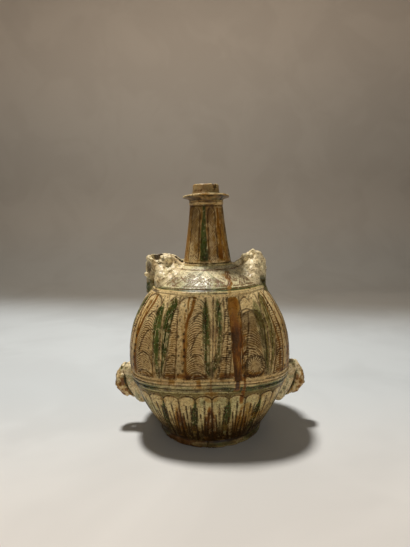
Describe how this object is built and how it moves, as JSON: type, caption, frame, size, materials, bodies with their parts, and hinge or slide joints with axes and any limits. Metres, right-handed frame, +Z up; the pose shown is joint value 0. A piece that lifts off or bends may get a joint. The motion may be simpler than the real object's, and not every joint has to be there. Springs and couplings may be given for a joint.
{
  "type": "pilgrim flask",
  "caption": "Glazed earthenware flask with a flattened round belly on a ring foot, a tall flanged neck and pierced lugs for a carrying strap.",
  "frame": {"origin": "on the floor at the middle of the flask's box, under the neck", "axes": "+Z up along the neck, +X towards the lugs on the right, the flat front faces -Y"},
  "size_m": [0.2616, 0.168, 0.33],
  "materials": {
    "foot_glaze": "worn lead glaze, dark where it pooled",
    "petal_slipware": "lead glaze over incised slip, green and amber splashes",
    "band_glaze": "copper green lead glaze over slip",
    "belly_slipware": "lead glaze over incised slip, green and amber splashes",
    "shoulder_slipware": "glossy cream lead glaze over incised slip",
    "neck_glaze": "amber lead glaze with a green stripe",
    "mouth_glaze": "thin matt glaze",
    "shoulder_lug_slip": "rough cream slip with thin glaze",
    "side_lug_glaze": "cream and amber lead glaze"
  },
  "bodies": {
    "root": {"foot_ring": "foot_glaze", "lower_belly": "petal_slipware", "waist_band": "band_glaze", "upper_belly": "belly_slipware", "shoulder_cordon": "band_glaze", "shoulder_dome": "shoulder_slipware", "neck": "neck_glaze", "neck_ring": "neck_glaze", "mouth_flange": "mouth_glaze", "mouth_collar": "mouth_glaze", "shoulder_lug_left": "shoulder_lug_slip", "shoulder_lug_right": "shoulder_lug_slip", "shoulder_mask_left": "shoulder_lug_slip", "shoulder_mask_right": "shoulder_lug_slip", "side_lug_left": "side_lug_glaze", "side_lug_right": "side_lug_glaze", "side_mask_left": "side_lug_glaze", "side_mask_right": "side_lug_glaze"}
  },
  "joints": []
}
